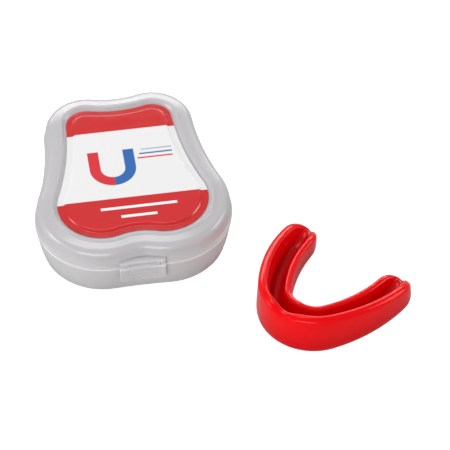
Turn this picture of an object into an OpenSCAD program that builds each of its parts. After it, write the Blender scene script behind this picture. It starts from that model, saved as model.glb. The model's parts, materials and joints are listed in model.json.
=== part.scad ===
// Mouthguard with its hinged snap-shut case.
// Frame: origin at the centre of the case's underside, +Z up, +Y towards the hinge, +X to the right.

/* [Case outline] */
// Sideways offset of the two front lobes' centres
front_lobe_x = 13; // [10:0.5:16]
// Radius of the front lobes
front_lobe_r = 28.5; // [26:0.5:30]
// Sideways offset of the two back lobes' centres
back_lobe_x = 14; // [11:0.5:16]
// Radius of the back lobes
back_lobe_r = 18.5; // [17:0.5:20]
// Overall length of the case, front to back
case_l = 93; // [88:1:98]
// Radius of the hollow between the front lobes
front_dip_r = 15; // [12:1:24]
// Radius of the hollow between the back lobes
back_dip_r = 38; // [34:1:50]
// Radius of the hollow in each side
waist_r = 120; // [90:5:200]

/* [Case heights] */
// Height of the seam between base and lid
seam_z = 17; // [16:0.5:18]
// Height of the bead round the label
top_z = 27.2; // [26:0.2:29]
// Thickness of the floor and the walls
wall = 1.6; // [1.2:0.1:2]
// Gap between the base's rim and the lid
seam_gap = 0.2; // [0.1:0.05:0.4]

/* [Lid hinge] */
// Radius of the hinge knuckles
knuckle_r = 1.6; // [1.4:0.05:1.6]
// Radius of the hinge pin
pin_r = 0.7; // [0.6:0.05:0.8]
// Half length of the lid's middle knuckle
knuckle_half = 3.6; // [3:0.1:4]
// Half length of the whole hinge
hinge_half = 8.4; // [8:0.1:9]

/* [Latch] */
// Width of the latch flap
latch_w = 19.4; // [18:0.2:20]
// Height of the flap's pivot above the seam
latch_pivot_up = 1.5; // [1.4:0.1:1.6]
// Distance from the flap's pivot to its lower edge
latch_drop = 9.5; // [8:0.1:10]
// Thickness of the flap
latch_t = 1; // [0.8:0.1:1.1]
// Number of grip ribs
rib_count = 4; // [3:1:5]

/* [Label] */
// Thickness of the vinyl label
label_t = 0.25; // [0.2:0.05:0.4]

/* [Mouthguard] */
// Width across the tooth channel and both walls
guard_w = 13.4; // [12:0.2:15]
// Height of the outer wall at the front teeth
guard_h = 20; // [17:0.5:21]
// Height of the inner wall behind the front teeth
guard_inner_h = 14.5; // [12:0.5:16]
// Height at the back ends
guard_tip_h = 10; // [9:0.5:12]
// Radius of the front of the arch, along the middle of the channel
arch_r = 15.5; // [14:0.5:18]
// Half angle of the front of the arch
arch_half = 57; // [52:1:60]
// Radius of the arch along the side teeth
leg_r = 65; // [55:5:90]
// Length of each side along the middle of the channel
leg_len = 42.5; // [36:1:46]
// Position of the arch's centre beside the case
guard_x = 68; // [60:0.5:80]
// Position of the arch's centre in front of the case
guard_y = -66.5; // [-75:0.5:-60]
// Turn of the mouthguard beside the case
guard_turn = -45; // [-60:1:-30]

/* [Hidden] */
$fn = 48;

// Lobe centres, from the overall length
lobe_gap_y = case_l - front_lobe_r - back_lobe_r;
front_lobe_y = -(case_l / 2 - front_lobe_r);
back_lobe_y = front_lobe_y + lobe_gap_y;
back_y = case_l / 2;
front_y = -case_l / 2;

// Lid hinge: the pin lies level with the back of the lobes, just below the seam
hinge_y = back_y;
hinge_drop = 0.1;
hinge_z = seam_z - knuckle_r - hinge_drop;
pin_clear = 0.05;
knuckle_gap = 0.2;
web_t = 1.1;
web_in = 2.6;

// Latch: the pivot runs straight across the hollow in the front
latch_out = 0.5;
latch_y = front_y - latch_out;
latch_z = seam_z + latch_pivot_up;
latch_half = latch_w / 2;
barrel_r = 0.9;
barrel_gap = 0.2;
stub_r = 0.45;
stub_clear = 0.05;
ear_in = 5.2;
ear_out = 7.2;
ear_web_t = 1.2;
ear_reach = 3;
ear_head = 1;
bow_r = 60;
bow_fn = 96;
face_out = 0.3;
face_y = front_y - face_out;
plate_reach = 3;
bow_y = face_y - bow_r;
corner_r = 2;
visor_t = 0.9;
visor_gap = 0.2;
visor_reach = 0.1;
hook_half = 4;
hook_h = 1.1;
hook_gap = 0.1;
hook_drop = 0.3;
rib_half_angle = 5.8;
rib_r = 0.3;
rib_fn = 16;
rib_pitch = 1.85;
rib_drop = 0.6;

// How far a cutting shape stands out of what it cuts
margin = 1;

// Catch: a short bar on the base that the flap's hook sits under
catch_drop = 3.3;
catch_z = seam_z - catch_drop;
catch_h = 1.3;
catch_reach = 0.6;
catch_root = 0.8;

// Profiles as [height, distance in from the outline], from the outside round to the inside
base_outer = [[0, 5.6], [0.35, 4.7], [1.2, 3.7], [3, 2.7], [6, 1.9], [11, 0.8], [seam_z, 0]];
base_inner = [[wall, wall + 5.4], [3, wall + 3], [6, wall + 1.9], [11, wall + 0.8],
    [seam_z + 1, wall]];
lid_low = seam_z + seam_gap;
well_z = top_z - 1.2;
panel_z = top_z - 0.4;
lid_outer = [[lid_low, 0], [lid_low + 1.3, 0], [lid_low + 1.7, 0.5], [22.9, 0.9], [24.6, 1.8],
    [25.9, 3.6], [26.6, 5.6], [26.8, 6.9], [top_z, 7.3], [top_z, 7.9], [well_z + 0.2, 8.6],
    [well_z, 9], [well_z, 12.6], [panel_z, 13.6]];
lid_inner = [[lid_low - 1, wall], [22.4, 2.6], [24, 3.8], [25, 5.6], [25.2, 8],
    [well_z - wall, 9.6], [well_z - wall, 12.4], [panel_z - wall, 14.4]];
label_low = [[panel_z, 13.6], [well_z, 12.6], [well_z, 9.8]];
label_high = [for (p = label_low) p + [label_t, 0]];
// The front hollow fades towards the foot: its radius grows by this much down there
dip_fade = 285;
lobe_steps = 13;
waist_steps = 6;
dip_steps = 8;

// Mouthguard: lengths are measured along the middle of the channel
arch_len = arch_r * arch_half * PI / 180;
guard_half_len = arch_len + leg_len;
guard_steps = 24;
channel_floor = 3.8;
notch_depth = 2.4;
notch_half = 3.8;
tip_round = 6;
tip_size = 0.6;
tip_z = 4;

// ---- Outline: four round lobes joined by four hollows, each touching its neighbours ----

// Centre of the circle of radius r outside the two circles, on the right of the way from a to b
function hollow_centre(a, ra, b, rb, r) =
    let (d = b - a, gap = norm(d), sa = ra + r, sb = rb + r)
    let (x = (gap * gap + sa * sa - sb * sb) / (2 * gap), h = sqrt(sa * sa - x * x), u = d / gap)
    a + u * x + [u[1], -u[0]] * h;

function bearing(from, to) = atan2(to[1] - from[1], to[0] - from[0]);
function up_to(a, b) = b < a ? b + 360 : b;
function down_to(a, b) = b > a ? b - 360 : b;
function arc(c, r, a0, a1, steps) = [for (i = [0 : steps - 1]) c + r * [cos(a0 + (a1 - a0) * i / steps),
    sin(a0 + (a1 - a0) * i / steps)]];

front_right = [front_lobe_x, front_lobe_y];
back_right = [back_lobe_x, back_lobe_y];
back_left = [-back_lobe_x, back_lobe_y];
front_left = [-front_lobe_x, front_lobe_y];
right_hollow = hollow_centre(front_right, front_lobe_r, back_right, back_lobe_r, waist_r);
back_hollow = hollow_centre(back_right, back_lobe_r, back_left, back_lobe_r, back_dip_r);
left_hollow = hollow_centre(back_left, back_lobe_r, front_left, front_lobe_r, waist_r);
front_hollow = hollow_centre(front_left, front_lobe_r, front_right, front_lobe_r, front_dip_r);
dip_y = front_hollow[1] + front_dip_r;

function lobe(c, r, from, to) = let (a = bearing(c, from))
    arc(c, r, a, up_to(a, bearing(c, to)), lobe_steps);
function hollow(c, r, from, to, steps) = let (a = bearing(c, from))
    arc(c, r, a, down_to(a, bearing(c, to)), steps);

// The outline moved in by the distance "in", with a front hollow of radius dip
function outline(in, dip = front_dip_r) =
    let (front = hollow_centre(front_left, front_lobe_r, front_right, front_lobe_r, dip)) concat(
    lobe(front_right, front_lobe_r - in, front, right_hollow),
    hollow(right_hollow, waist_r + in, front_right, back_right, waist_steps),
    lobe(back_right, back_lobe_r - in, right_hollow, back_hollow),
    hollow(back_hollow, back_dip_r + in, back_right, back_left, dip_steps),
    lobe(back_left, back_lobe_r - in, back_hollow, left_hollow),
    hollow(left_hollow, waist_r + in, back_left, front_left, waist_steps),
    lobe(front_left, front_lobe_r - in, left_hollow, front),
    hollow(front, dip + in, front_left, front_right, dip_steps));

function ring(p) = [for (q = outline(p[1])) [q[0], q[1], p[0]]];
function base_dip(z) = front_dip_r + dip_fade * pow(max(1 - z / seam_z, 0), 3);
function base_ring(p) = [for (q = outline(p[1], base_dip(p[0]))) [q[0], q[1], p[0]]];
function flat(lists) = [for (one = lists) for (p = one) p];

// A closed solid through rings of equal length, with its first and last rings capped
module loft(rings) {
    n = len(rings[0]);
    last = len(rings) - 1;
    sides = [for (j = [0 : last - 1]) for (i = [0 : n - 1]) for (f = [0, 1])
        let (a = j * n + i, b = j * n + (i + 1) % n)
        f == 0 ? [a, a + n, b] : [b, a + n, b + n]];
    caps = [[for (i = [0 : n - 1]) i], [for (i = [n - 1 : -1 : 0]) last * n + i]];
    polyhedron(points = flat(rings), faces = concat(sides, caps), convexity = 6);
}

// A cylinder along X between two places
module rod_x(x0, x1, y, z, r) {
    translate([x0, y, z]) rotate([0, 90, 0]) cylinder(h = x1 - x0, r = r);
}

module block(x0, x1, y0, y1, z0, z1) {
    translate([x0, y0, z0]) cube([x1 - x0, y1 - y0, z1 - z0]);
}

// ---- Case ----

module case_base() {
    color([0.85, 0.85, 0.87]) difference() {
        union() {
            difference() {
                loft([for (p = base_outer) base_ring(p)]);
                loft([for (p = base_inner) base_ring(p)]);
            }
            for (side = [-1, 1]) base_knuckle(side);
            block(-hook_half, hook_half, dip_y - catch_reach, dip_y + catch_root, catch_z,
                catch_z + catch_h);
        }
        rod_x(-hinge_half - margin, hinge_half + margin, hinge_y, hinge_z, pin_r);
        rod_x(-knuckle_half - knuckle_gap, knuckle_half + knuckle_gap, hinge_y, hinge_z,
            knuckle_r + knuckle_gap);
    }
}

module base_knuckle(side) {
    x0 = side < 0 ? -hinge_half : knuckle_half + knuckle_gap;
    x1 = side < 0 ? -knuckle_half - knuckle_gap : hinge_half;
    rod_x(x0, x1, hinge_y, hinge_z, knuckle_r);
    block(x0, x1, hinge_y - web_in, hinge_y, hinge_z - knuckle_r, hinge_z - knuckle_r + web_t);
}

module case_lid() {
    color([0.88, 0.88, 0.9]) difference() {
        union() {
            difference() {
                loft([for (p = lid_outer) ring(p)]);
                loft([for (p = lid_inner) ring(p)]);
                rod_x(-latch_half - barrel_gap, latch_half + barrel_gap, latch_y, latch_z,
                    barrel_r + barrel_gap);
            }
            rod_x(-knuckle_half, knuckle_half, hinge_y, hinge_z, knuckle_r);
            block(-knuckle_half, knuckle_half, hinge_y - web_in, hinge_y - knuckle_r / 2,
                lid_low, lid_low + web_t);
            block(-knuckle_half, knuckle_half, hinge_y - knuckle_r, hinge_y - knuckle_r / 2,
                hinge_z, lid_low + web_t);
            latch_visor();
            for (side = [-1, 1]) latch_ear(side);
        }
        rod_x(-knuckle_half - margin, knuckle_half + margin, hinge_y, hinge_z,
            pin_r + pin_clear);
        rod_x(-ear_out - margin, ear_out + margin, latch_y, latch_z, stub_r + stub_clear);
    }
}

// Shelf over the top of the flap
module latch_visor() {
    z0 = latch_z + barrel_r + visor_gap;
    difference() {
        block(-latch_half, latch_half, latch_y - barrel_r - visor_reach, dip_y + wall, z0,
            z0 + visor_t);
        translate([0, bow_y - barrel_r, z0 - margin])
            cylinder(h = visor_t + 2 * margin, r = bow_r, $fn = bow_fn);
    }
}

module latch_ear(side) {
    x0 = side < 0 ? -ear_out : ear_in;
    x1 = side < 0 ? -ear_in : ear_out;
    rod_x(x0, x1, latch_y, latch_z, barrel_r);
    block(x0, x1, latch_y, dip_y + catch_root, latch_z - ear_web_t / 2, latch_z + ear_web_t / 2);
}

module hinge_pin() {
    color([0.9, 0.9, 0.92]) rod_x(-hinge_half, hinge_half, hinge_y, hinge_z, pin_r);
}

module latch_flap() {
    color([0.88, 0.88, 0.9]) {
        difference() {
            union() {
                flap_plate();
                rod_x(-latch_half, latch_half, latch_y, latch_z, barrel_r);
            }
            for (side = [-1, 1]) ear_slot(side);
        }
        rod_x(-ear_out - barrel_gap, ear_out + barrel_gap, latch_y, latch_z, stub_r);
        hook_top = catch_z - hook_drop;
        block(-hook_half, hook_half, face_y + latch_t / 2, dip_y - catch_reach - hook_gap,
            hook_top - hook_h, hook_top);
        for (i = [0 : rib_count - 1])
            grip_rib(latch_z - latch_drop / 2 - rib_drop + (i - (rib_count - 1) / 2) * rib_pitch);
    }
}

// The flap's plate: bowed in plan, with round lower corners
module flap_plate() {
    low = latch_z - latch_drop;
    intersection() {
        union() {
            block(-latch_half, latch_half, face_y - plate_reach, face_y + plate_reach,
                low + corner_r, latch_z);
            block(corner_r - latch_half, latch_half - corner_r, face_y - plate_reach,
                face_y + plate_reach, low, latch_z);
            for (side = [-1, 1])
                translate([side * (latch_half - corner_r), face_y + plate_reach, low + corner_r])
                    rotate([90, 0, 0]) cylinder(h = 2 * plate_reach, r = corner_r);
        }
        translate([0, bow_y, low - margin]) difference() {
            cylinder(h = latch_drop + 2 * margin, r = bow_r + latch_t, $fn = bow_fn);
            translate([0, 0, -margin])
                cylinder(h = latch_drop + 4 * margin, r = bow_r, $fn = bow_fn);
        }
    }
}

module ear_slot(side) {
    x0 = side < 0 ? -ear_out - barrel_gap : ear_in - barrel_gap;
    x1 = side < 0 ? barrel_gap - ear_in : ear_out + barrel_gap;
    rod_x(x0, x1, latch_y, latch_z, barrel_r + barrel_gap);
    block(x0, x1, latch_y, latch_y + ear_reach, latch_z - barrel_r - barrel_gap,
        latch_z + ear_head);
}

module grip_rib(z) {
    translate([0, bow_y, z]) rotate([0, 0, 90 - rib_half_angle])
        rotate_extrude(angle = 2 * rib_half_angle, $fn = bow_fn)
            translate([bow_r, 0]) circle(rib_r, $fn = rib_fn);
}

module label() {
    color([0.83, 0.18, 0.18])
        loft(concat([for (p = label_low) ring(p)],
            [for (i = [len(label_high) - 1 : -1 : 0]) ring(label_high[i])]));
}

// ---- Mouthguard ----

// Point a distance s along the channel from the middle of the front, and u outwards from it
function arch_point(s, u) =
    let (side = s < 0 ? -1 : 1, far = max(abs(s) - arch_len, 0))
    let (bend = arch_half + far / leg_r * 180 / PI, front = min(abs(s), arch_len) / arch_r * 180 / PI)
    let (c = (arch_r - leg_r) * [sin(arch_half), -cos(arch_half)])
    let (p = far > 0 ? c + (leg_r + u) * [sin(bend), -cos(bend)]
        : (arch_r + u) * [sin(front), -cos(front)])
    [side * p[0], p[1]];

// Closed section of the tray, as [outwards, up], for outer and inner wall heights ho and hi
function tray_section(w, ho, hi) = [
    [-w + 1.2, 0], [w - 0.6, 0], [w + 0.7, 0.8], [w + 1.2, 2.6], [w + 0.9, ho * 0.45],
    [w + 0.3, ho - 2.4], [w - 0.4, ho - 0.7], [w - 1.4, ho], [w - 2.5, ho - 0.6],
    [w - 3.1, ho - 2.2], [w - 3.6, (ho + channel_floor) / 2], [w - 4.8, channel_floor + 0.8],
    [0, channel_floor], [-w + 4.8, channel_floor + 0.6], [-w + 3.6, (hi + channel_floor) / 2],
    [-w + 3, hi - 1.8], [-w + 2.4, hi - 0.5], [-w + 1.4, hi], [-w + 0.5, hi - 0.6],
    [-w, hi - 2.2], [-w - 0.1, hi * 0.45], [-w, 1.5]];

function outer_height(t, s) = guard_h - (guard_h - guard_tip_h) * pow(t, 1.5)
    - notch_depth * exp(-pow(s / notch_half, 2));
function inner_height(t) = guard_inner_h - (guard_inner_h - guard_tip_h + 0.5) * t;

// The ends round off over the last few millimetres
function end_scale(s) = let (q = min((guard_half_len - abs(s)) / tip_round, 1))
    tip_size + (1 - tip_size) * sqrt(1 - (1 - q) * (1 - q));

function tray_ring(s) = let (t = abs(s) / guard_half_len, k = end_scale(s))
    [for (p = tray_section(guard_w / 2, outer_height(t, s), inner_height(t)))
        let (q = arch_point(s, p[0] * k)) [q[0], q[1], tip_z + (p[1] - tip_z) * k]];

module mouthguard() {
    color([0.85, 0, 0.06]) translate([guard_x, guard_y, 0]) rotate([0, 0, guard_turn])
        loft([for (i = [guard_steps : -1 : -guard_steps])
            tray_ring(guard_half_len * i / guard_steps)]);
}

case_base();
case_lid();
hinge_pin();
latch_flap();
label();
mouthguard();
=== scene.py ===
# %% [markdown]
# # A mouthguard beside its snap-shut case
#
# The real set is two moulded things: a boxer's mouthguard in red EVA, and a small clamshell case in
# frosted polypropylene with a glossy sticker on its lid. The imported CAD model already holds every
# size, hinge and place. This lesson dresses it: each piece is built again with finer curves, in the
# same frame, and gets a finish that is worked out from what the real material is.

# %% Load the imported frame
import json
import math

import bmesh
import bpy
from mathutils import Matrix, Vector


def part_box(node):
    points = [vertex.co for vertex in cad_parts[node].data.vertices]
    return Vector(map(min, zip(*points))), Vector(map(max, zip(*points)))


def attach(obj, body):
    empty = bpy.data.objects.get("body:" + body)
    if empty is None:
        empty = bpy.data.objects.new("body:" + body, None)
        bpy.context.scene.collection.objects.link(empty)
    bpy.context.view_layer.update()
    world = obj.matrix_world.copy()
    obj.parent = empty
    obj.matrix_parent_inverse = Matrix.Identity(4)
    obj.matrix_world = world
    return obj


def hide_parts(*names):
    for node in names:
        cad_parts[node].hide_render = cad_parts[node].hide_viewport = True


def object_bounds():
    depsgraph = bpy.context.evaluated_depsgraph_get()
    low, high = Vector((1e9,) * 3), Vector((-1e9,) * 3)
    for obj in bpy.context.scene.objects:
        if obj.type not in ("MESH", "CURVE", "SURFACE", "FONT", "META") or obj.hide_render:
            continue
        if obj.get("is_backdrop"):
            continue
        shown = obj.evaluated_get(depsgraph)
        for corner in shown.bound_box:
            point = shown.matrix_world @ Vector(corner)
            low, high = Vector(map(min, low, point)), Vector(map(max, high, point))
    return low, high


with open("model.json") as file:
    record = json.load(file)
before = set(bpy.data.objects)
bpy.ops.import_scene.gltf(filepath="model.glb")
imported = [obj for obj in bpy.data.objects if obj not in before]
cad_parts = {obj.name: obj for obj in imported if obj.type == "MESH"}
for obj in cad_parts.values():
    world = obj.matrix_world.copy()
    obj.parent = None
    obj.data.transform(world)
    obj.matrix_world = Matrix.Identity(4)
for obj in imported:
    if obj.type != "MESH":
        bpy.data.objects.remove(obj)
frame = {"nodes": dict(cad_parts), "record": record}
cad_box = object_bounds()

# %% [markdown]
# ## Camera
#
# Small products are usually shot from some way back with a long lens, because that keeps the near
# and far edges almost the same size. The camera stands 48 degrees above the table and 8.8 degrees
# to the left of the latch, and looks at a point between the case and the mouthguard. It comes first,
# so that every later piece can be judged from the same place.

# %% Place the camera
MM = 0.001
VIEW_TURN = math.radians(-8.8)
VIEW_RISE = math.radians(48)
VIEW_TARGET = Vector((39.4 * MM, -14 * MM, 0))
VIEW_DISTANCE = 1.277
LENS_MM = 240
SENSOR_MM = 36


def add_camera():
    data = bpy.data.cameras.new("product_camera")
    data.lens = LENS_MM
    data.sensor_width = SENSOR_MM
    camera = bpy.data.objects.new("product_camera", data)
    bpy.context.scene.collection.objects.link(camera)
    away = Vector((math.sin(VIEW_TURN) * math.cos(VIEW_RISE),
                   -math.cos(VIEW_TURN) * math.cos(VIEW_RISE), math.sin(VIEW_RISE)))
    camera.location = VIEW_TARGET + away * VIEW_DISTANCE
    camera.rotation_euler = away.to_track_quat("Z", "Y").to_euler()
    bpy.context.scene.camera = camera
    return camera


print("camera at", tuple(round(v, 3) for v in add_camera().location))

# %% [markdown]
# ## The lobed outline
#
# Seen from above the case is a rounded, waisted shape: two wide lobes at the latch, two narrower
# ones at the hinge, and a hollow between each pair. It could be traced by hand as one long curve, but
# eight arcs that touch each other say the same thing with eight radii. Each hollow is a circle
# that touches two lobes from outside, so its centre follows from their radii. Sizes are given in
# millimetres, and MM turns them into Blender's metres.

# %% Work out the outline from the frame
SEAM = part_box("case_base")[1][2] / MM
CASE_LENGTH = 93
CASE_BACK = CASE_LENGTH / 2
CASE_FRONT = -CASE_BACK
FRONT_LOBE_X = 13
FRONT_LOBE_R = 28.5
BACK_LOBE_X = 14
BACK_LOBE_R = 18.5
FRONT_HOLLOW_R = 15
BACK_HOLLOW_R = 38
WAIST_R = 120
FRONT_LOBE_Y = CASE_FRONT + FRONT_LOBE_R
BACK_LOBE_Y = CASE_BACK - BACK_LOBE_R
# How many straight stretches each lobe and each hollow gets, anticlockwise from the front right
LOBE_STEPS = (44, 34, 34, 44)
HOLLOW_STEPS = (16, 14, 16, 14)


def hollow_centre(a, ra, b, rb, r):
    """Centre of the circle of radius r that touches circles a and b from outside."""
    gap = (b - a).length
    near, far = ra + r, rb + r
    along = (gap * gap + near * near - far * far) / (2 * gap)
    aside = math.sqrt(near * near - along * along)
    way = (b - a) / gap
    return a + way * along + Vector((way.y, -way.x)) * aside


def arc(centre, radius, start, end, steps, way):
    """Points of an arc without its last one. way is 1 for anticlockwise and -1 for clockwise."""
    first = math.atan2(start.y - centre.y, start.x - centre.x)
    turn = (math.atan2(end.y - centre.y, end.x - centre.x) - first) * way % math.tau * way
    return [centre + radius * Vector((math.cos(first + turn * i / steps),
                                      math.sin(first + turn * i / steps))) for i in range(steps)]


def case_outline(inset=0, front_radius=FRONT_HOLLOW_R):
    """The outline moved in by a distance, and where its front hollow ends in Y."""
    lobes = [(Vector((FRONT_LOBE_X, FRONT_LOBE_Y)), FRONT_LOBE_R),
             (Vector((BACK_LOBE_X, BACK_LOBE_Y)), BACK_LOBE_R),
             (Vector((-BACK_LOBE_X, BACK_LOBE_Y)), BACK_LOBE_R),
             (Vector((-FRONT_LOBE_X, FRONT_LOBE_Y)), FRONT_LOBE_R)]
    radii = [WAIST_R, BACK_HOLLOW_R, WAIST_R, front_radius]
    hollows = []
    for i, radius in enumerate(radii):
        (a, ra), (b, rb) = lobes[i], lobes[(i + 1) % 4]
        hollows.append((hollow_centre(a, ra, b, rb, radius), radius))
    points = []
    for i, (centre, radius) in enumerate(lobes):
        points += arc(centre, radius - inset, hollows[i - 1][0], hollows[i][0], LOBE_STEPS[i], 1)
        points += arc(hollows[i][0], hollows[i][1] + inset, centre, lobes[(i + 1) % 4][0],
                      HOLLOW_STEPS[i], -1)
    return points, hollows[3][0].y + front_radius + inset


OUTLINE, FRONT_HOLLOW_Y = case_outline()
print("outline", len(OUTLINE), "points, front hollow at y", round(FRONT_HOLLOW_Y, 2), "mm")

# %% [markdown]
# ## Profiles with rounded corners
#
# A moulded shell has no sharp edge: every corner of its section has a small radius, so that the
# melt flows and the part leaves the mould. A section is written here as corner points, each with the
# radius of its rounding, and one function swaps each corner for an arc. A bevel modifier could
# round the finished mesh instead, but it would treat every edge alike.

# %% Round the corners of a section


def rounded(path, steps=6, closed=False):
    """Turns [(inset, height, radius), ...] into points, with an arc in place of each corner."""
    spots = [Vector(p[:2]) for p in path]
    ends = () if closed else (0, len(path) - 1)
    points = []
    for i, (_, _, radius) in enumerate(path):
        if i in ends or radius == 0:
            points.append(spots[i])
            continue
        back = (spots[i - 1] - spots[i]).normalized()
        on = (spots[(i + 1) % len(spots)] - spots[i]).normalized()
        half = math.acos(max(-1, min(1, back.dot(on)))) / 2
        centre = spots[i] + (back + on).normalized() * radius / math.sin(half)
        reach = radius / math.tan(half)
        first, last = spots[i] + back * reach, spots[i] + on * reach
        start = math.atan2(first.y - centre.y, first.x - centre.x)
        turn = math.atan2(last.y - centre.y, last.x - centre.x) - start
        turn = (turn + math.pi) % math.tau - math.pi
        points += [centre + radius * Vector((math.cos(start + turn * k / steps),
                                             math.sin(start + turn * k / steps)))
                   for k in range(steps + 1)]
    return points


print("a square corner of radius 1 becomes", len(rounded([(2, 0, 0), (0, 0, 1), (0, 2, 0)])), "points")

# %% [markdown]
# ## A tree that sweeps a section round the outline
#
# Lid and label are the same idea: one section carried round one outline. That rule is a Geometry
# Nodes tree with two inputs, the outline and the material. Its own geometry is the section,
# drawn flat, with the distance in from the outline along X and the height along Y. Curve to Mesh
# carries it round, with the curve's normals held level so that the section stays upright. Curve to
# Mesh lays a section's X outwards and its Y downwards here, so both are given with a minus sign.

# %% Build the sweep tree


def add_node(tree, kind, links=None, **settings):
    """Adds a node. settings are its properties, links its inputs: a socket to join or a value."""
    made = tree.nodes.new(kind)
    for name, value in settings.items():
        setattr(made, name, value)
    for name, value in (links or {}).items():
        if isinstance(value, bpy.types.NodeSocket):
            tree.links.new(value, made.inputs[name])
        else:
            made.inputs[name].default_value = value
    return made


def new_tree(name, inputs):
    """A Geometry Nodes tree with a geometry input and output, and the named inputs."""
    tree = bpy.data.node_groups.new(name, "GeometryNodeTree")
    tree.interface.new_socket("Geometry", in_out="INPUT", socket_type="NodeSocketGeometry")
    for label, kind in inputs.items():
        tree.interface.new_socket(label, in_out="INPUT", socket_type="NodeSocket" + kind)
    tree.interface.new_socket("Geometry", in_out="OUTPUT", socket_type="NodeSocketGeometry")
    return tree, tree.nodes.new("NodeGroupInput").outputs


def end_tree(tree, geometry, material):
    """Realises the instances, sets the material and ends the tree."""
    real = add_node(tree, "GeometryNodeRealizeInstances", {"Geometry": geometry})
    painted = add_node(tree, "GeometryNodeSetMaterial",
                       {"Geometry": real.outputs[0], "Material": material})
    add_node(tree, "NodeGroupOutput", {"Geometry": painted.outputs[0]})
    return tree


def sweep_tree():
    tree, given = new_tree("Sweep a section", {"Outline": "Object", "Material": "Material"})
    guide = add_node(tree, "GeometryNodeObjectInfo", {"Object": given["Outline"]})
    path = add_node(tree, "GeometryNodeMeshToCurve", {"Mesh": guide.outputs["Geometry"]})
    level = add_node(tree, "GeometryNodeSetCurveNormal", {"Curve": path.outputs[0]}, mode="Z_UP")
    section = add_node(tree, "GeometryNodeMeshToCurve", {"Mesh": given["Geometry"]})
    swept = add_node(tree, "GeometryNodeCurveToMesh",
                     {"Curve": level.outputs[0], "Profile Curve": section.outputs[0]})
    return end_tree(tree, swept.outputs["Mesh"], given["Material"])


SWEEP = sweep_tree()
print("sweep tree has", len(SWEEP.nodes), "nodes")

# %% [markdown]
# ## Turning a tree into a plain mesh
#
# A finished piece is a plain mesh at the origin with no live tree on it, so that it can be posed
# and exported. The helper below puts a tree on a carrier mesh, sets the inputs by their
# identifiers, takes the result and removes the modifier. Its mesh is then checked for faces that
# point inwards, which a sweep can easily make.

# %% Helpers for plain meshes
SMOOTH_ANGLE = math.radians(38)


def add_mesh(name, points, edges=(), faces=()):
    mesh = bpy.data.meshes.new(name)
    mesh.from_pydata([tuple(p) for p in points], list(edges), list(faces))
    piece = bpy.data.objects.new(name, mesh)
    bpy.context.scene.collection.objects.link(piece)
    return piece


def bake(piece):
    """Swaps a piece's mesh for what its modifiers make, and removes them."""
    graph = bpy.context.evaluated_depsgraph_get()
    made = bpy.data.meshes.new_from_object(piece.evaluated_get(graph), depsgraph=graph)
    piece.modifiers.clear()
    old, piece.data = piece.data, made
    bpy.data.meshes.remove(old)
    return piece


def grow(piece, tree, values):
    """Runs a tree on a piece with the named input values, then bakes it."""
    modifier = piece.modifiers.new(tree.name, "NODES")
    modifier.node_group = tree
    for item in tree.interface.items_tree:
        if item.in_out == "INPUT" and item.name in values:
            modifier[item.identifier] = values[item.name]
    return bake(piece)


def tidy(piece, merge=0.005 * MM):
    """Merges doubled points, closes holes, turns the faces outwards and shades them."""
    work = bmesh.new()
    work.from_mesh(piece.data)
    bmesh.ops.remove_doubles(work, verts=work.verts, dist=merge)
    bmesh.ops.holes_fill(work, edges=[e for e in work.edges if e.is_boundary], sides=0)
    bmesh.ops.recalc_face_normals(work, faces=work.faces)
    if work.calc_volume(signed=True) < 0:
        bmesh.ops.reverse_faces(work, faces=work.faces)
    open_edges = sum(1 for e in work.edges if not e.is_manifold)
    volume = work.calc_volume() / MM ** 3
    work.to_mesh(piece.data)
    work.free()
    piece.data.shade_smooth()
    piece.data.set_sharp_from_angle(angle=SMOOTH_ANGLE)
    print(f"{piece.name}: {len(piece.data.vertices)} points, {volume:.0f} mm3, {open_edges} open edges")
    return piece


outline_guide = add_mesh("outline_guide", [(p.x * MM, p.y * MM, 0) for p in OUTLINE],
                         [(i, (i + 1) % len(OUTLINE)) for i in range(len(OUTLINE))])


def swept_shell(name, section, material):
    """A closed piece: the section carried round the outline, and both ends closed."""
    points = [(-p.x * MM, -p.y * MM, 0) for p in section]
    carrier = add_mesh(name, points, [(i, i + 1) for i in range(len(points) - 1)])
    return tidy(grow(carrier, SWEEP, {"Outline": outline_guide, "Material": material}))


# %% [markdown]
# ## Small tools for the hinge and the latch
#
# The hinge and the latch are made of rods, blocks and lofts. A rod here has rounded ends, a block
# has eased edges, and a loft joins rings of equal length into a closed skin. Boolean modifiers join
# or cut them, and are baked at once, so that what remains is one clean skin per moulding.

# %% Rods, blocks, lofts and booleans
ROD_SIDES = 32


def loft(name, rings, material):
    """A closed skin through rings of equal length, with its two ends closed."""
    count = len(rings[0])
    faces = [(j * count + i, j * count + (i + 1) % count,
              (j + 1) * count + (i + 1) % count, (j + 1) * count + i)
             for j in range(len(rings) - 1) for i in range(count)]
    faces += [tuple(range(count))[::-1], tuple(range((len(rings) - 1) * count, len(rings) * count))]
    piece = add_mesh(name, [Vector(p) * MM for ring in rings for p in ring], faces=faces)
    piece.data.materials.append(material)
    return piece


def rod(x0, x1, y, z, radius, ease=0.15):
    """A rod along X with eased ends. Sizes are in millimetres."""
    stations = [(x0, radius - ease), (x0 + ease, radius), (x1 - ease, radius), (x1, radius - ease)]
    turns = [math.tau * i / ROD_SIDES for i in range(ROD_SIDES)]
    rings = [[(x, y + r * math.cos(a), z + r * math.sin(a)) for a in turns] for x, r in stations]
    return tidy(loft("rod", rings, frosted))


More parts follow.
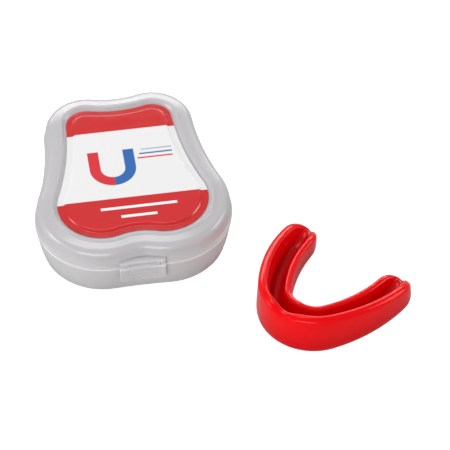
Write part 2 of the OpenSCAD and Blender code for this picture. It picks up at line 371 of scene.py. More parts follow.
def block(low, high, ease=0.15):
    """A block between two corners, with eased edges. Sizes are in millimetres."""
    work = bmesh.new()
    bmesh.ops.create_cube(work, size=1)
    for v in work.verts:
        v.co = Vector([(a + b) / 2 + c * (b - a) for a, b, c in zip(low, high, v.co)]) * MM
    if ease:
        bmesh.ops.bevel(work, geom=work.edges[:], offset=ease * MM, segments=2, affect="EDGES")
    mesh = bpy.data.meshes.new("block")
    work.to_mesh(mesh)
    work.free()
    mesh.materials.append(frosted)
    piece = bpy.data.objects.new("block", mesh)
    bpy.context.scene.collection.objects.link(piece)
    return piece


def combine(piece, others, operation="UNION"):
    """Joins others to a piece, or cuts them from it, and removes them."""
    for other in others:
        modifier = piece.modifiers.new(operation, "BOOLEAN")
        modifier.operation = operation
        modifier.solver = "EXACT"
        modifier.object = other
        bake(piece)
        bpy.data.objects.remove(other)
    return piece

# %% [markdown]
# ## Colours and shader nodes
#
# Colours are picked as sRGB hex values, which is how paint and print are usually named, and one
# function turns them into the linear numbers that a shader works in.

# %% Colour and material helpers


def hex_colour(code):
    """Linear red, green, blue and alpha of an sRGB hex colour."""
    parts = [int(code[i:i + 2], 16) / 255 for i in (1, 3, 5)]
    linear = [c / 12.92 if c <= 0.04045 else ((c + 0.055) / 1.055) ** 2.4 for c in parts]
    return (*linear, 1)


def new_material(name, values):
    """A material with a Principled shader. Returns it with its tree, shader and coordinates in mm."""
    material = bpy.data.materials.new(name)
    material.use_nodes = True
    tree = material.node_tree
    shader = tree.nodes["Principled BSDF"]
    for label, value in values.items():
        shader.inputs[label].default_value = value
    place = add_node(tree, "ShaderNodeTexCoord")
    in_mm = add_node(tree, "ShaderNodeVectorMath", {0: place.outputs["Object"], "Scale": 1 / MM},
                     operation="SCALE")
    return material, tree, shader, in_mm.outputs[0]


def spread(tree, value, low, high):
    """Carries a noise, most of which lies between 0.3 and 0.7, to the range from low to high."""
    return add_node(tree, "ShaderNodeMapRange",
                    {"Value": value, "From Min": 0.3, "From Max": 0.7, "To Min": low,
                     "To Max": high}).outputs[0]


print("mid grey is", round(hex_colour("#808080")[0], 3), "in linear light")

# %% [markdown]
# ## Frosted polypropylene
#
# Natural polypropylene is milky: its crystals scatter light, so a thin wall lets a soft glow through
# and shows only blurred shapes behind it. The mould is lightly blasted, which leaves a satin skin
# with a fine grain of about 0.1 mm. That is too fine to show here, so the grain is drawn at 1.2 mm.
# A quarter of the light passes through the shader, and the rest is a pale grey plastic, which clouds
# a little every 14 mm. Two painted tones change its colour with height. High on the shoulder it is
# painted greyer, as painted shade for the dark hollow of the closed case behind the wall. At the seam
# the lips are painted nearly white, as painted light for the glow of solid plastic lit from the side.

# %% Frosted polypropylene
GRAIN_MM = 1.2
CLOUD_MM = 14
SHOULDER_SHADE_LOW = 18.5
SHOULDER_SHADE_HIGH = 23
LIP_GLOW_FULL = 0.4
LIP_GLOW_FADE = 1.1
LIP_GLOW_SHARE = 0.8
frosted, tree, shader, place = new_material("frosted_polypropylene", {
    "Transmission Weight": 0.25, "IOR": 1.49})
cloud = add_node(tree, "ShaderNodeTexNoise", {"Vector": place, "Scale": 1 / CLOUD_MM, "Detail": 3})
milk = add_node(tree, "ShaderNodeMix", {0: cloud.outputs["Fac"], 6: hex_colour("#D2D0D2"),
                                        7: hex_colour("#DAD9DA")}, data_type="RGBA")
height = add_node(tree, "ShaderNodeSeparateXYZ", {0: place}).outputs[2]
# Painted shade: the shoulder is painted greyer with height, for the dark hollow behind the wall
hollow = add_node(tree, "ShaderNodeMapRange", {"Value": height, "From Min": SHOULDER_SHADE_LOW,
                                               "From Max": SHOULDER_SHADE_HIGH})
grey = add_node(tree, "ShaderNodeMix", {0: hollow.outputs[0], 6: milk.outputs[2],
                                        7: hex_colour("#CCCACC")}, data_type="RGBA")
# Painted light: the lips at the seam are painted nearly white, for their glow from the side
off_seam = add_node(tree, "ShaderNodeMath", {0: height, 1: SEAM}, operation="SUBTRACT")
off_seam = add_node(tree, "ShaderNodeMath", {0: off_seam.outputs[0]}, operation="ABSOLUTE")
lip_glow = add_node(tree, "ShaderNodeMapRange", {"Value": off_seam.outputs[0], "From Min": LIP_GLOW_FADE,
                                            "From Max": LIP_GLOW_FULL, "To Max": LIP_GLOW_SHARE})
lip_glow_colour = add_node(tree, "ShaderNodeMix", {0: lip_glow.outputs[0], 6: grey.outputs[2],
                                            7: hex_colour("#F8F7F7")}, data_type="RGBA")
tree.links.new(lip_glow_colour.outputs[2], shader.inputs["Base Color"])
grain = add_node(tree, "ShaderNodeTexNoise", {"Vector": place, "Scale": 1 / GRAIN_MM, "Detail": 1})
tree.links.new(spread(tree, cloud.outputs["Fac"], 0.2, 0.25), shader.inputs["Roughness"])
skin = add_node(tree, "ShaderNodeBump", {"Height": grain.outputs["Fac"], "Strength": 0.2,
                                         "Distance": 0.03 * MM})
tree.links.new(skin.outputs[0], shader.inputs["Normal"])
print("frosted polypropylene:", len(tree.nodes), "nodes")

# %% [markdown]
# ## Printed vinyl
#
# The label is white vinyl film, printed in red and laid under a clear gloss layer. Two straight
# edges divide it into a red back, a white middle and a red front. In the white field stands a
# plain arch in red and blue, the shape of a mouthguard seen from above, with three thin stripes
# beside it, and on the front band two short white rules. Each is a distance worked out from the
# place on the label in millimetres, so that edges stay crisp at any size. Film laid by hand is never
# quite flat, so a faint wave about 9 mm across bends its reflections.

# %% Printed vinyl
BACK_BAND_Y = 22.4
FRONT_BAND_Y = -16.4
ARCH_X, ARCH_Y = -6, 1
ARCH_RADIUS = 7.5
ARCH_WIDTH = 4.6
ARCH_ARM = 10
EDGE_MM = 0.12

vinyl, tree, shader, place = new_material("printed_vinyl", {
    "Roughness": 0.24, "IOR": 1.5, "Coat Weight": 0.2, "Coat Roughness": 0.1})
spot = add_node(tree, "ShaderNodeSeparateXYZ", {0: place}).outputs


def sum_up(operation, a, b):
    return add_node(tree, "ShaderNodeMath", {0: a, 1: b}, operation=operation).outputs[0]


def inside(distance):
    """1 where a distance in millimetres is below zero and 0 above, with a soft edge."""
    return add_node(tree, "ShaderNodeMapRange",
                    {"Value": distance, "From Min": EDGE_MM, "From Max": -EDGE_MM}).outputs[0]


def bar(x0, x1, y0, y1):
    """1 inside an upright rectangle on the label."""
    x_off = sum_up("SUBTRACT", sum_up("ABSOLUTE", sum_up("SUBTRACT", spot[0], (x0 + x1) / 2), 0),
                   (x1 - x0) / 2)
    y_off = sum_up("SUBTRACT", sum_up("ABSOLUTE", sum_up("SUBTRACT", spot[1], (y0 + y1) / 2), 0),
                   (y1 - y0) / 2)
    return inside(sum_up("MAXIMUM", x_off, y_off))


def print_on(ground, mask, colour):
    """Prints a colour on the ground where the mask is 1."""
    links = {0: mask, 7: hex_colour(colour)}
    links[6] = ground if isinstance(ground, bpy.types.NodeSocket) else hex_colour(ground)
    return add_node(tree, "ShaderNodeMix", links, data_type="RGBA").outputs[2]


arch_x = sum_up("SUBTRACT", spot[0], ARCH_X)
arch_y = sum_up("SUBTRACT", spot[1], ARCH_Y)
bowl = add_node(tree, "ShaderNodeCombineXYZ", {0: arch_x, 1: sum_up("MINIMUM", arch_y, 0)})
reach = add_node(tree, "ShaderNodeVectorMath", {0: bowl.outputs[0]}, operation="LENGTH").outputs["Value"]
ring = sum_up("ABSOLUTE", sum_up("SUBTRACT", reach, ARCH_RADIUS), 0)
ring = sum_up("SUBTRACT", ring, ARCH_WIDTH / 2)
arch_mask = inside(sum_up("MAXIMUM", ring, sum_up("SUBTRACT", arch_y, ARCH_ARM)))
left_half = inside(arch_x)

FILM_WHITE = "#E2E1E1"
BAND_RED = "#C4161A"
ARCH_RED = "#D0202C"
ARCH_BLUE = "#1F5FA8"
STRIPE_END = 20
STRIPE_WIDTH = 0.8
RULE_WIDTH = 1.4
ink = print_on(FILM_WHITE, arch_mask, ARCH_BLUE)
ink = print_on(ink, sum_up("MULTIPLY", arch_mask, left_half), ARCH_RED)
for x, y, colour in ((7, 9.6, "#9FB4C4"), (6, 7.2, ARCH_BLUE), (5, 4.8, ARCH_RED)):
    ink = print_on(ink, bar(x, STRIPE_END, y, y + STRIPE_WIDTH), colour)
ink = print_on(ink, inside(sum_up("SUBTRACT", BACK_BAND_Y, spot[1])), BAND_RED)
ink = print_on(ink, inside(sum_up("SUBTRACT", spot[1], FRONT_BAND_Y)), BAND_RED)
for x0, x1, y in ((-14, 18, -22.6), (-6, 9, -27.6)):
    ink = print_on(ink, bar(x0, x1, y, y + RULE_WIDTH), "#F2EDED")
tree.links.new(ink, shader.inputs["Base Color"])
WAVE_MM = 9
wave = add_node(tree, "ShaderNodeTexNoise", {"Vector": place, "Scale": 1 / WAVE_MM, "Detail": 1})
film = add_node(tree, "ShaderNodeBump", {"Height": wave.outputs["Fac"], "Strength": 0.5,
                                         "Distance": 0.6 * MM})
tree.links.new(film.outputs[0], shader.inputs["Normal"])
print("printed vinyl:", len(tree.nodes), "nodes")

# %% [markdown]
# ## Red EVA
#
# Mouthguards are moulded from EVA, a soft rubbery plastic, dyed through in bright red. The steel
# mould is polished, so the surface is glossy, but rubber shrinks a little unevenly as it cools. It
# leaves a faint orange peel a few millimetres across, and some light goes a short way in and comes
# out warmer. The base colour follows the height above the foot, as painted shade: a darker red at the
# foot, a brighter red at the rim. Reflections take on some of the dye, so the shader's specular tint
# is pink.

# %% Red EVA
PEEL_MM = 3.5
DYE_MM = 18
DYE_SHARE = 0.25
SHADE_RISE_MM = 14
eva, tree, shader, place = new_material("red_eva", {
    "IOR": 1.5, "Subsurface Weight": 0.12, "Subsurface Radius": (1.2, 0.25, 0.15),
    "Subsurface Scale": MM, "Specular IOR Level": 0.35,
    "Specular Tint": (1, 0.42, 0.42, 1)})
dye = add_node(tree, "ShaderNodeTexNoise", {"Vector": place, "Scale": 1 / DYE_MM, "Detail": 2})
height = add_node(tree, "ShaderNodeSeparateXYZ", {0: place}).outputs[2]
# Painted shade: the red is darker at the foot and brighter towards the rim
thinning_and_shade = add_node(tree, "ShaderNodeMapRange", {"Value": height, "From Min": 0, "From Max": SHADE_RISE_MM})
# The mix factor is the dye's random tone plus the painted height shade
dye_and_shade = add_node(tree, "ShaderNodeMath", {0: dye.outputs["Fac"], 1: DYE_SHARE, 2: thinning_and_shade.outputs[0]},
                 operation="MULTIPLY_ADD")
red = add_node(tree, "ShaderNodeMix", {0: dye_and_shade.outputs[0], 6: hex_colour("#BC000C"),
                                       7: hex_colour("#E2020A")}, data_type="RGBA")
tree.links.new(red.outputs[2], shader.inputs["Base Color"])
peel = add_node(tree, "ShaderNodeTexNoise", {"Vector": place, "Scale": 1 / PEEL_MM, "Detail": 2})
tree.links.new(spread(tree, peel.outputs["Fac"], 0.17, 0.22), shader.inputs["Roughness"])
rubber = add_node(tree, "ShaderNodeBump", {"Height": peel.outputs["Fac"], "Strength": 0.07,
                                           "Distance": 0.2 * MM})
tree.links.new(rubber.outputs[0], shader.inputs["Normal"])
print("red EVA:", len(tree.nodes), "nodes")

# %% [markdown]
# ## Floor and light
#
# The set stands on pale card under broad, even light, as in a shop's studio. The card is a flat
# sheet far bigger than the view. It has a glow of its own, which only the camera sees: the card
# comes out clean white, but doesn't throw that extra light back up at the pieces. The sky is an even
# pale grey. A long low lamp behind draws a bright line along every rim, and a smaller one overhead
# fills the hollows. A wide low lamp in front lights the walls more than the shoulder, and one on each
# side opens the shaded ends.

# %% Floor, sky and lamps
CARD_GLOW = 0.8
CARD_HALF = 3
CARD_DROP = 0.05
FIBRE_MM = 5
SKY = 0.4
card, tree, shader, place = new_material("white_card", {
    "Roughness": 0.9, "Specular IOR Level": 0.1, "Emission Color": (1, 1, 1, 1)})
fibre = add_node(tree, "ShaderNodeTexNoise", {"Vector": place, "Scale": 1 / FIBRE_MM, "Detail": 2})
pale = add_node(tree, "ShaderNodeMix", {0: fibre.outputs["Fac"], 6: hex_colour("#B8B8B8"),
                                        7: hex_colour("#BCBCBC")}, data_type="RGBA")
tree.links.new(pale.outputs[2], shader.inputs["Base Color"])
seen = add_node(tree, "ShaderNodeLightPath")
glow = add_node(tree, "ShaderNodeMath", {0: seen.outputs["Is Camera Ray"], 1: CARD_GLOW},
                operation="MULTIPLY")
tree.links.new(glow.outputs[0], shader.inputs["Emission Strength"])
floor = add_mesh("floor", [(x * CARD_HALF, y * CARD_HALF, -CARD_DROP * MM)
                           for x, y in ((-1, -1), (1, -1), (1, 1), (-1, 1))], faces=[(0, 1, 2, 3)])
floor.data.materials.append(card)
floor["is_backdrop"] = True

world = bpy.data.worlds.new("soft_sky")
bpy.context.scene.world = world
world.use_nodes = True
world.node_tree.nodes["Background"].inputs["Color"].default_value = (1, 1, 1, 1)
world.node_tree.nodes["Background"].inputs["Strength"].default_value = SKY
bpy.context.scene.view_settings.view_transform = "Standard"


def add_lamp(name, place, size, watts):
    data = bpy.data.lights.new(name, "AREA")
    data.shape = "RECTANGLE"
    data.size, data.size_y = size
    data.energy = watts
    lamp = bpy.data.objects.new(name, data)
    bpy.context.scene.collection.objects.link(lamp)
    lamp.location = place
    lamp.rotation_euler = (Vector(place) - VIEW_TARGET).to_track_quat("Z", "Y").to_euler()
    return lamp


add_lamp("back_softbox", (0.1, 1.05, 0.52), (1.2, 0.25), 7)
add_lamp("overhead_softbox", (-0.05, 0.3, 1), (0.5, 0.3), 2.5)
add_lamp("front_softbox", (-0.35, -0.9, 0.3), (0.8, 0.4), 6)
add_lamp("right_softbox", (0.9, 0, 0.4), (0.5, 0.4), 3)
add_lamp("left_softbox", (-0.95, 0, 0.4), (0.5, 0.4), 3.5)
print("floor", 2 * CARD_HALF, "m wide, lamps placed")

# %% [markdown]
# ## Case base
#
# The base is a shallow tray with a rounded foot and a wall that leans outwards a little, so that it
# leaves its mould. Its front hollow fades towards the foot, so one fixed outline won't do: each
# point of the section gets an outline of its own, and the rings are lofted. Two knuckles at the back
# hold the hinge pin, and a short bar at the front is what the latch hooks under. They are joined on
# by booleans, because in the real moulding they are one skin with the wall. The hinge's axis comes
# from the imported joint, so that the knuckles turn about the same line as the lid.

# %% Case base
joints = {joint["name"]: joint for joint in frame["record"]["behaviour"]["joints"]}
HINGE_Y, HINGE_Z = (v / MM for v in joints["lid_hinge"]["pos_m"][1:])
WALL = 1.6
CLEAR = 0.2
KNUCKLE_R = 1.6
KNUCKLE_HALF = 3.6
KNUCKLE_ROOT = 2.6
HINGE_HALF = 8.4
PIN_R = 0.7
CATCH_HALF = 4
# How much the front hollow's radius grows from the seam down to the foot
HOLLOW_FADE = 285

base_section = rounded([(16, 0, 0), (3.4, 0, 3), (1.6, 7, 40), (0, SEAM, 0.4), (WALL, SEAM, 0.4),
                        (3.1, 7, 30), (5, WALL, 3), (16, WALL, 0)])
base_rings = []
for spot in base_section:
    front_radius = FRONT_HOLLOW_R + HOLLOW_FADE * (1 - spot.y / SEAM) ** 3
    base_rings.append([(p.x, p.y, spot.y) for p in case_outline(spot.x, front_radius)[0]])
base = tidy(loft("case_base_shell", base_rings, frosted))
knuckles = []
for x0, x1 in ((-HINGE_HALF, -KNUCKLE_HALF - CLEAR), (KNUCKLE_HALF + CLEAR, HINGE_HALF)):
    knuckles.append(rod(x0, x1, HINGE_Y, HINGE_Z, KNUCKLE_R))
    knuckles.append(block((x0, HINGE_Y - KNUCKLE_ROOT, HINGE_Z - KNUCKLE_R),
                          (x1, HINGE_Y, HINGE_Z - 0.5), 0.1))
catch = block((-CATCH_HALF, FRONT_HOLLOW_Y - 0.6, SEAM - 3.3),
              (CATCH_HALF, FRONT_HOLLOW_Y + 0.8, SEAM - 2), 0.2)
combine(base, knuckles + [catch])
combine(base, [rod(-HINGE_HALF - 1, HINGE_HALF + 1, HINGE_Y, HINGE_Z, PIN_R, 0),
               rod(-KNUCKLE_HALF - CLEAR, KNUCKLE_HALF + CLEAR, HINGE_Y, HINGE_Z,
                   KNUCKLE_R + CLEAR, 0)], "DIFFERENCE")
tidy(base)
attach(base, "case")
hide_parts("case_base")

# %% [markdown]
# ## Case lid
#
# The lid is a low dome. From the edge inwards it has a straight lip, a rounded shoulder, a bead, a
# narrow groove, and a panel raised in the middle for the label. All of that is one section, carried
# round by the sweep tree. A shelf and two ears stand over the front hollow and carry the latch, and
# the middle knuckle hangs at the back.

# %% Case lid
LATCH_Y, LATCH_Z = (v / MM for v in joints["latch_hinge"]["pos_m"][1:])
LATCH_HALF = 9.7
BORE_CLEAR = 0.05
BARREL_R = 0.9
STUB_R = 0.45
EAR_IN = 5.2
EAR_OUT = 7.2
BOW_R = 60
FACE_Y = CASE_FRONT - 0.3
BOW_Y = FACE_Y - BOW_R
PANEL_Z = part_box("case_lid")[1][2] / MM - 0.4
WELL_Z = PANEL_Z - 0.8
LIP_Z = SEAM + CLEAR
SHELF_T = 0.9
SHELF_CORNER = 1.2
SHELF_STEPS = 24

lid_section = rounded([
    (16, PANEL_Z, 0), (13.5, PANEL_Z, 0.6), (12.6, WELL_Z, 0.6), (9, WELL_Z, 0.5),
    (8.1, PANEL_Z + 0.4, 0.45), (7.1, PANEL_Z + 0.4, 0.45), (6.7, PANEL_Z, 0.8),
    (1.15, 25.9, 3.4), (0.5, 18.9, 0.2), (0, 18.6, 0.4), (0, LIP_Z, 0.45), (WALL, LIP_Z, 0.4),
    (2.7, 24.3, 2.2), (7.6, 25.2, 0.5), (9.4, 24.4, 0.5), (12.4, 24.4, 0.5), (14.2, 25.2, 0.5),
    (16, 25.2, 0)])
lid = swept_shell("case_lid_shell", lid_section, frosted)
combine(lid, [rod(-LATCH_HALF - CLEAR, LATCH_HALF + CLEAR, LATCH_Y, LATCH_Z, BARREL_R + CLEAR, 0)],
        "DIFFERENCE")


def latch_shelf():
    """The shelf over the flap: a plate with a hollow front edge that follows the flap."""
    low = LATCH_Z + BARREL_R + CLEAR
    high = low + SHELF_T
    back = FRONT_HOLLOW_Y + WALL
    rings = []
    for i in range(SHELF_STEPS + 1):
        x = -LATCH_HALF + 2 * LATCH_HALF * i / SHELF_STEPS
        off = max(0, abs(x) - LATCH_HALF + SHELF_CORNER) / SHELF_CORNER
        corner = SHELF_CORNER * (1 - math.sqrt(1 - off * off))
        front = BOW_Y - BARREL_R + math.sqrt(BOW_R ** 2 - x * x) + 0.1 + corner
        rings.append([(x, p.x, p.y) for p in rounded([
            (back, low, 0), (front, low, 0.3), (front, high, 0.4), (back, high, 0)], 4)])
    return tidy(loft("latch_shelf", rings, frosted))


ears = []
for x0, x1 in ((-EAR_OUT, -EAR_IN), (EAR_IN, EAR_OUT)):
    ears.append(rod(x0, x1, LATCH_Y, LATCH_Z, BARREL_R))
    ears.append(block((x0, LATCH_Y, LATCH_Z - 0.6), (x1, FRONT_HOLLOW_Y + 0.8, LATCH_Z + 0.6), 0.1))
arm_end = (KNUCKLE_HALF, HINGE_Y - 0.8, LIP_Z + 1.1)
knuckle = [rod(-KNUCKLE_HALF, KNUCKLE_HALF, HINGE_Y, HINGE_Z, KNUCKLE_R),
           block((-KNUCKLE_HALF, HINGE_Y - KNUCKLE_ROOT, LIP_Z), arm_end, 0.1),
           block((-KNUCKLE_HALF, HINGE_Y - KNUCKLE_R, HINGE_Z), arm_end, 0.1)]
combine(lid, [latch_shelf()] + ears + knuckle)
combine(lid, [rod(-KNUCKLE_HALF - 1, KNUCKLE_HALF + 1, HINGE_Y, HINGE_Z, PIN_R + BORE_CLEAR, 0),
              rod(-EAR_OUT - 1, EAR_OUT + 1, LATCH_Y, LATCH_Z, STUB_R + BORE_CLEAR, 0)],
        "DIFFERENCE")
tidy(lid)
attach(lid, "lid")
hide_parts("case_lid")

# %% [markdown]
# ## Label
#
# The label is one piece of film pressed over the panel, with a flat border in the groove and a
# rounded step up to the middle. It follows the same outline, a little further in.

# %% Label
FILM = 0.25
GLUE = 0.01
label_section = rounded([
    (16, PANEL_Z + FILM, 0), (13.3, PANEL_Z + FILM, 0.7), (12.4, WELL_Z + FILM, 0.7),
    (9.8, WELL_Z + FILM, 0.12), (9.8, WELL_Z + GLUE, 0), (12.6, WELL_Z + GLUE, 0.6),
    (13.5, PANEL_Z + GLUE, 0.6), (16, PANEL_Z + GLUE, 0)])
label = swept_shell("lid_label", label_section, vinyl)
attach(label, "lid")
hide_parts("label")

# %% [markdown]
# ## A tree for the grip ribs
#
# Four ribs on the latch give a fingernail some grip. They repeat, so a Geometry Nodes tree makes
# them: one short bowed rib with tapered ends, set on a column of points. Its inputs are the sizes that
# a maker would want to change, such as the pitch and the number of ribs.

# %% Rib tree
RIB_TAPER = 12
RIB_SIDES = 12
RIB_STEPS = 28


def rib_tree():
    tree, given = new_tree("Grip ribs", {
        "Ribs": "Int", "Pitch": "Float", "Lowest": "Float", "Rib Radius": "Float",
        "Half Angle": "Float", "Bow Radius": "Float", "Bow Centre": "Float", "Material": "Material"})
    start = add_node(tree, "ShaderNodeMath", {0: math.pi / 2, 1: given["Half Angle"]},
                     operation="SUBTRACT")
    sweep = add_node(tree, "ShaderNodeMath", {0: given["Half Angle"], 1: 2}, operation="MULTIPLY")
    bow = add_node(tree, "GeometryNodeCurveArc", {
        "Resolution": RIB_STEPS, "Radius": given["Bow Radius"], "Start Angle": start.outputs[0],
        "Sweep Angle": sweep.outputs[0]})
    along = add_node(tree, "GeometryNodeSplineParameter")
    swing = add_node(tree, "ShaderNodeMath", {0: along.outputs["Factor"], 1: 2, 2: -1},
                     operation="MULTIPLY_ADD")
    steep = add_node(tree, "ShaderNodeMath", {0: swing.outputs[0], 1: RIB_TAPER}, operation="POWER")
    taper = add_node(tree, "ShaderNodeMath", {0: 1, 1: steep.outputs[0]}, operation="SUBTRACT")
    shaped = add_node(tree, "GeometryNodeSetCurveRadius",
                      {"Curve": bow.outputs[0], "Radius": taper.outputs[0]})
    circle = add_node(tree, "GeometryNodeCurvePrimitiveCircle",
                      {"Resolution": RIB_SIDES, "Radius": given["Rib Radius"]})
    rib = add_node(tree, "GeometryNodeCurveToMesh", {
        "Curve": shaped.outputs[0], "Profile Curve": circle.outputs[0], "Fill Caps": True})
    first = add_node(tree, "ShaderNodeCombineXYZ", {"Y": given["Bow Centre"], "Z": given["Lowest"]})
    step = add_node(tree, "ShaderNodeCombineXYZ", {"Z": given["Pitch"]})
    column = add_node(tree, "GeometryNodeMeshLine", {
        "Count": given["Ribs"], "Start Location": first.outputs[0], "Offset": step.outputs[0]})
    ribs = add_node(tree, "GeometryNodeInstanceOnPoints",
                    {"Points": column.outputs[0], "Instance": rib.outputs[0]})
    both = add_node(tree, "GeometryNodeJoinGeometry")
    tree.links.new(ribs.outputs[0], both.inputs[0])
    tree.links.new(given["Geometry"], both.inputs[0])
    return end_tree(tree, both.outputs[0], given["Material"])


RIBS = rib_tree()
print("rib tree has", len(RIBS.nodes), "nodes")

# %% [markdown]
# ## Latch flap
#
# The flap hangs from two small stubs and snaps under the bar on the base. Its plate is bowed, so it
# fills the front hollow, and its edges thin out a little. Two slots clear the lid's ears, a barrel
# between them carries the stubs, and a hook stands out at the back. The ribs come last, from their
# tree.

# %% Latch flap
FLAP_DROP = 9.5
FLAP_T = 1
FLAP_CORNER = 2
FLAP_STEPS = 60
EDGE_THIN = 0.25
EDGE_FROM = 0.85
RIB_COUNT = 4
RIB_PITCH = 1.85
RIB_R = 0.3
RIB_DROP = 0.6
RIB_HALF_ANGLE = math.radians(5.8)
HOOK_DROP = 3.6
HOOK_T = 1.1


def bow_y(x, depth=0):
    """Where the bowed plate's skin is in Y, at a distance x from the middle and a depth inwards."""
    return BOW_Y + math.sqrt((BOW_R + depth) ** 2 - x * x)


def flap_plate():
    low, high = LATCH_Z - FLAP_DROP, LATCH_Z + 0.2
    rings = []
    for i in range(FLAP_STEPS + 1):
        x = -LATCH_HALF * math.cos(math.pi * i / FLAP_STEPS)
        off = max(0, abs(x) - LATCH_HALF + FLAP_CORNER) / FLAP_CORNER
        lift = FLAP_CORNER * (1 - math.sqrt(max(0, 1 - off * off)))
        thinning_and_shade = EDGE_THIN * max(0, off - EDGE_FROM) / (1 - EDGE_FROM)
        rings.append([(x, bow_y(x, p.x), p.y) for p in rounded([
            (thinning_and_shade, low + lift, 0.3), (thinning_and_shade, high - lift * 0.3, 0.3),
            (FLAP_T - thinning_and_shade, high - lift * 0.3, 0.2), (FLAP_T - thinning_and_shade, low + lift, 0.2)], 4, True)])
    return tidy(loft("latch_flap_plate", rings, frosted))


flap = flap_plate()
slots = []
for x0, x1 in ((-EAR_OUT - CLEAR, -EAR_IN + CLEAR), (EAR_IN - CLEAR, EAR_OUT + CLEAR)):
    slots.append(rod(x0, x1, LATCH_Y, LATCH_Z, BARREL_R + CLEAR, 0))
    slots.append(block((x0, LATCH_Y, LATCH_Z - 1.1), (x1, LATCH_Y + 3, LATCH_Z + 1), 0))
combine(flap, [rod(-LATCH_HALF, LATCH_HALF, LATCH_Y, LATCH_Z, BARREL_R, 0.3)])
combine(flap, slots, "DIFFERENCE")
hook_top = SEAM - HOOK_DROP
combine(flap, [rod(-EAR_OUT - CLEAR, EAR_OUT + CLEAR, LATCH_Y, LATCH_Z, STUB_R, 0.1),
               block((-CATCH_HALF, FACE_Y + FLAP_T / 2, hook_top - HOOK_T),
                     (CATCH_HALF, FRONT_HOLLOW_Y - 0.7, hook_top), 0.12)])
lowest_rib = LATCH_Z - FLAP_DROP / 2 - RIB_DROP - RIB_PITCH * (RIB_COUNT - 1) / 2
grow(flap, RIBS, {"Ribs": RIB_COUNT, "Pitch": RIB_PITCH * MM, "Lowest": lowest_rib * MM,
                  "Rib Radius": RIB_R * MM, "Half Angle": RIB_HALF_ANGLE, "Bow Radius": BOW_R * MM,
                  "Bow Centre": BOW_Y * MM, "Material": frosted})
FINE_MERGE = 0.002 * MM
tidy(flap, FINE_MERGE)
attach(flap, "latch")
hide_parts("latch_flap")

# %% [markdown]
# ## The mouthguard's arch and section
#
# The mouthguard is a trough that follows the teeth: a tall outer wall in front of them, a lower
# inner wall behind, and a bite pad between. The arch is two tangent arcs: a tight one goes round the
# front teeth and a wide one along each side. The section's wall heights fall off towards the back,
# and its floor rises near the ends. The outer rim dips in the middle, to clear the fold of skin under
# the lip. Near both ends the whole section shrinks along a curve, which closes them in a soft round.

# %% Mouthguard section and path
GUARD_HALF_W = 6.7
OUTER_H = 20
INNER_H = 14.5
TIP_H = 10
CHANNEL_Z = 3.8
ARCH_FRONT_R = 15.5
ARCH_FRONT_ANGLE = math.radians(57)
ARCH_SIDE_R = 65
SIDE_LENGTH = 42.5
TIP_ROUND = 9
TIP_POWER = 2.1
TIP_MIDDLE_Z = 4.2
CHANNEL_CLIMB = 11
NOTCH_DEPTH = 2
NOTCH_HALF = 3.8
FRONT_LENGTH = ARCH_FRONT_R * ARCH_FRONT_ANGLE
HALF_LENGTH = FRONT_LENGTH + SIDE_LENGTH
GUARD_X, GUARD_Y = 68, -66.5
GUARD_TURN = math.radians(-45)


def arch_spot(along, out):
    """Where a point lies, a distance along the channel from its middle and a distance outwards."""
    if abs(along) < FRONT_LENGTH:
        turn = abs(along) / ARCH_FRONT_R
        x, y = (ARCH_FRONT_R + out) * math.sin(turn), -(ARCH_FRONT_R + out) * math.cos(turn)
    else:
        turn = ARCH_FRONT_ANGLE + (abs(along) - FRONT_LENGTH) / ARCH_SIDE_R
        back = ARCH_FRONT_R - ARCH_SIDE_R
        x = back * math.sin(ARCH_FRONT_ANGLE) + (ARCH_SIDE_R + out) * math.sin(turn)
        y = -back * math.cos(ARCH_FRONT_ANGLE) - (ARCH_SIDE_R + out) * math.cos(turn)
    x = math.copysign(x, along)
    return (GUARD_X + x * math.cos(GUARD_TURN) - y * math.sin(GUARD_TURN),
            GUARD_Y + x * math.sin(GUARD_TURN) + y * math.cos(GUARD_TURN))


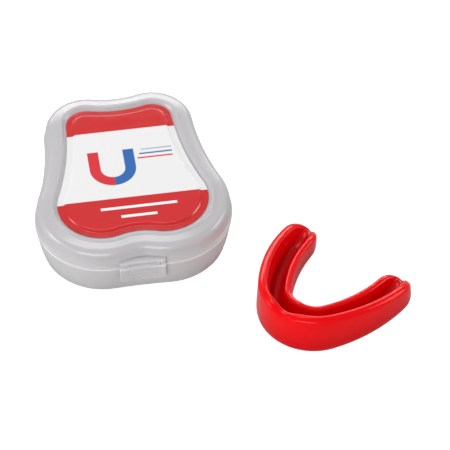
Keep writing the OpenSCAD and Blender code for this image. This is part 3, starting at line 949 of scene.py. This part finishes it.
def guard_ring(along):
    """One section of the mouthguard, at a distance along the channel from the middle."""
    far = abs(along) / HALF_LENGTH
    w = GUARD_HALF_W
    outer = OUTER_H - (OUTER_H - TIP_H) * far ** 1.5
    outer -= NOTCH_DEPTH * math.exp(-(along / NOTCH_HALF) ** 2)
    inner = INNER_H - (INNER_H - TIP_H + 0.5) * far
    climb = max(0, 1 - (HALF_LENGTH - abs(along)) / CHANNEL_CLIMB)
    floor_z = CHANNEL_Z + (TIP_H - 2.4 - CHANNEL_Z) * climb * climb * (3 - 2 * climb)
    section = rounded([
        (0, 0, 0), (w + 0.8, 0, 2), (w + 1.2, 3.2, 6), (w + 0.5, outer, 2.3), (w - 3.3, outer, 1.5),
        (w - 4.6, floor_z + 0.5, 2), (0, floor_z, 6), (-w + 4.4, floor_z + 0.5, 2),
        (-w + 3, inner, 1.3), (-w, inner, 1.4), (-w - 0.1, 5, 8), (-w + 0.3, 0, 1.6)], 5, True)
    near_end = min((HALF_LENGTH - abs(along)) / TIP_ROUND, 1)
    size = (1 - (1 - near_end) ** TIP_POWER) ** (1 / TIP_POWER)
    return [(*arch_spot(along, p.x * size), TIP_MIDDLE_Z + (p.y - TIP_MIDDLE_Z) * size)
            for p in section]


print("half the arch is", round(HALF_LENGTH, 1), "mm, a section has", len(guard_ring(0)), "points")

# %% [markdown]
# ## Mouthguard
#
# Sections are set at even steps along the arch, and closer and closer together over the last few
# millimetres, where the ends round off. One loft joins them all. Carrying a fixed section round
# with the sweep tree wouldn't do here, because no two sections are the same.

# %% Mouthguard
STATIONS = 90
TIP_STATIONS = 14
TIP_CROWD = 2.6
ends = [HALF_LENGTH - TIP_ROUND * (1 - i / TIP_STATIONS) ** TIP_CROWD for i in range(TIP_STATIONS)]
ends.append(HALF_LENGTH - 0.005)
middle_run = [(HALF_LENGTH - TIP_ROUND) * (2 * i / STATIONS - 1) for i in range(1, STATIONS)]
guard_stations = [-s for s in reversed(ends)] + middle_run + ends
guard = tidy(loft("mouthguard_tray", [guard_ring(s) for s in guard_stations], eva), FINE_MERGE)
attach(guard, "guard")
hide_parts("mouthguard")

# %% [markdown]
# ## Hinge pin
#
# The pin is a plain moulded rod hidden in the knuckles. The CAD shape is already right, so it stays
# and only takes the plastic finish.

# %% Hinge pin
pin = frame["nodes"]["hinge_pin"]
pin.data.materials.clear()
pin.data.materials.append(frosted)
print("pin", len(pin.data.vertices), "points")

# %% [markdown]
# ## Sizes, and the end
#
# The finished model is kept inside the CAD one's box, and both boxes are written down side by side.

# %% Write the sizes and finish
bpy.data.objects.remove(outline_guide)
model_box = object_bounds()
for name, corners in (("CAD", cad_box), ("model", model_box)):
    print(name, [[round(v / MM, 2) for v in corner] for corner in corners])
